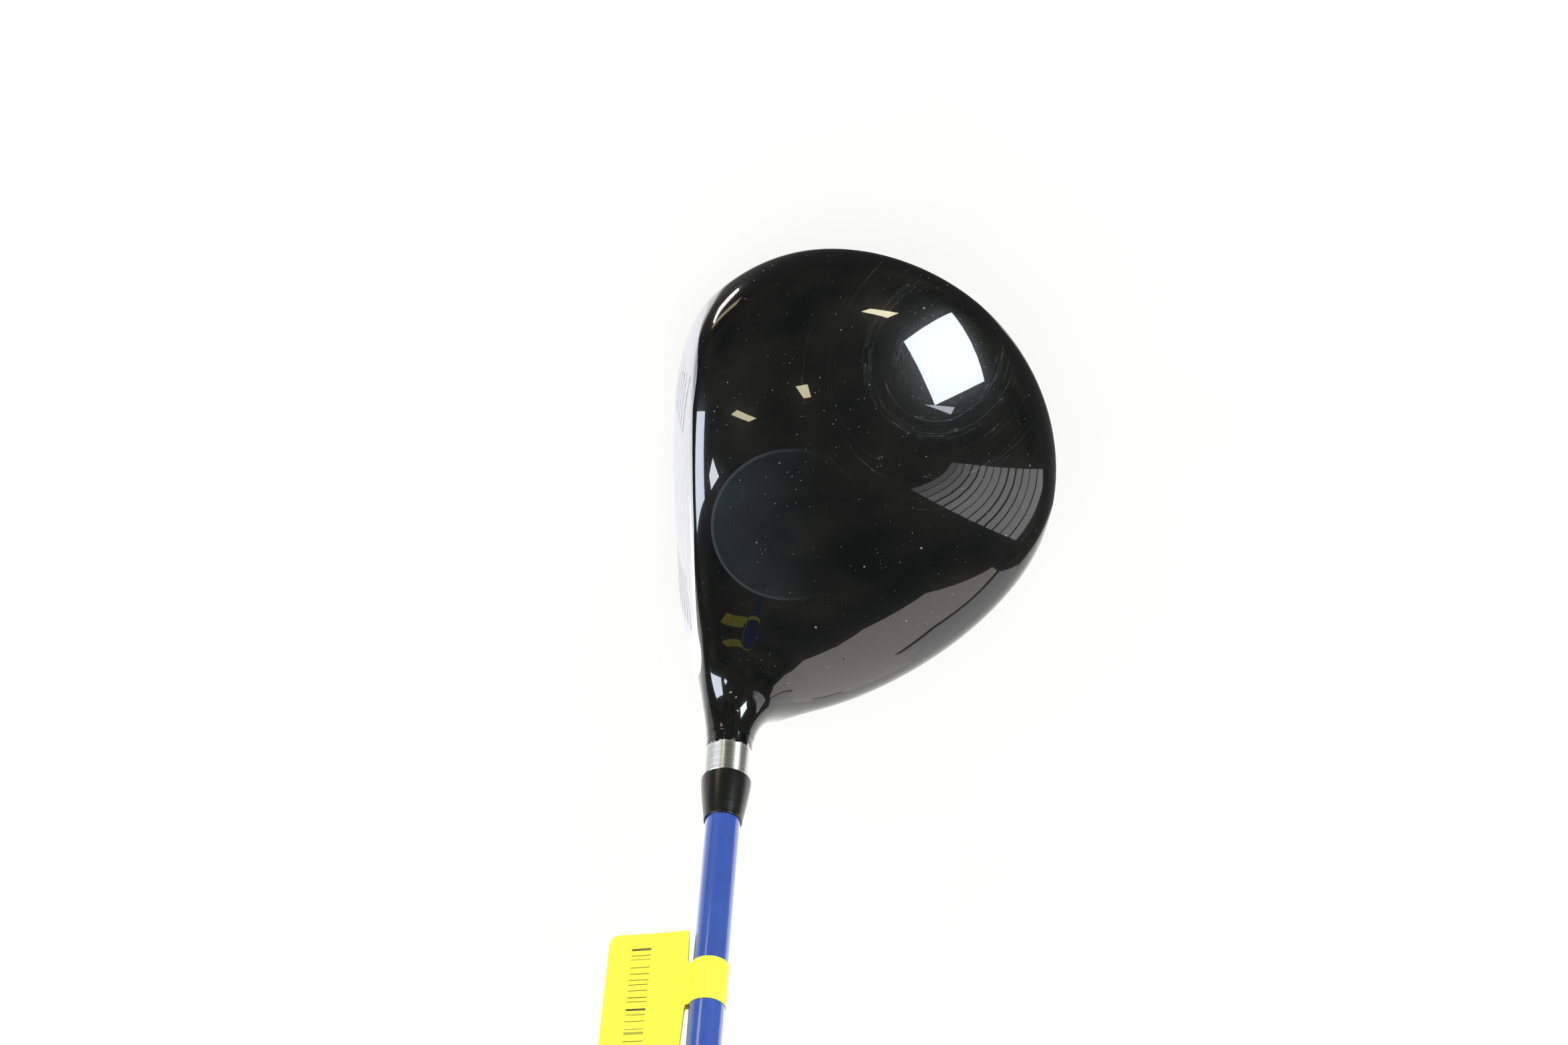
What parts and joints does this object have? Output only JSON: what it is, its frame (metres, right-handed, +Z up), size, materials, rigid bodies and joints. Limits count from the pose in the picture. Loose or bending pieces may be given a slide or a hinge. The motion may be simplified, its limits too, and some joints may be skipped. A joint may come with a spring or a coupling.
{
  "type": "golf driver",
  "caption": "Golf driver with a large hollow head, black crown, brushed face, bare ring, ferrule, blue tapered shaft and rubber grip.",
  "frame": {"origin": "centre of the flat wear plate in the sole, on the ground", "axes": "-Y is the way the face looks, -X is towards the toe, +X towards the heel and the shaft, +Z up with the club soled"},
  "size_m": [0.7016, 0.1076, 0.9761],
  "materials": {
    "black_paint": "high-gloss black lacquer",
    "brushed_face": "satin, brushed heel to toe",
    "bare_metal": "turned bare metal",
    "cast_metal": "as cast",
    "screw_metal": "satin",
    "tungsten": "sintered",
    "seal_rubber": "matt",
    "adhesive": "cured resin",
    "soft_glue": "tacky",
    "black_collar": "polished",
    "blue_shaft": "gloss paint under lacquer",
    "plug_foam": "foam",
    "tape": "crepe paper",
    "grip_rubber": "matt moulded",
    "tag_paper": "coated paper"
  },
  "bodies": {
    "club": {"crown": "black_paint", "body": "black_paint", "face_plate": "brushed_face", "crown_bond": "adhesive", "toe_weight": "cast_metal", "heel_weight": "cast_metal", "rattle_glue": "soft_glue", "sole_plate": "screw_metal", "weight_port": "cast_metal", "hosel_tube": "bare_metal", "hosel_plug": "plug_foam", "shaft_epoxy": "adhesive", "ferrule": "black_collar", "shaft": "blue_shaft", "tip_plug": "plug_foam", "grip_tape": "tape", "grip": "grip_rubber", "grip_cap": "grip_rubber", "shaft_tag": "tag_paper"},
    "screw_carriage": {"weight_seal": "seal_rubber"},
    "screw": {"weight_screw": "screw_metal", "weight_core": "tungsten"}
  },
  "joints": [
    {"name": "screw_travel", "type": "slide", "parent": "club", "child": "screw_carriage", "axis": [0, 0.3008, -0.9537], "range_m": [0, 0.006]},
    {"name": "screw_turn", "type": "hinge", "parent": "screw_carriage", "child": "screw", "pos_m": [0, 0.036, 0.00686], "axis": [0, 0.3008, -0.9537], "range_deg": [0, 2160]}
  ],
  "couplings": [
    {"joint": "screw_turn", "follows": "screw_travel", "rad_per_m": 6283.2}
  ]
}
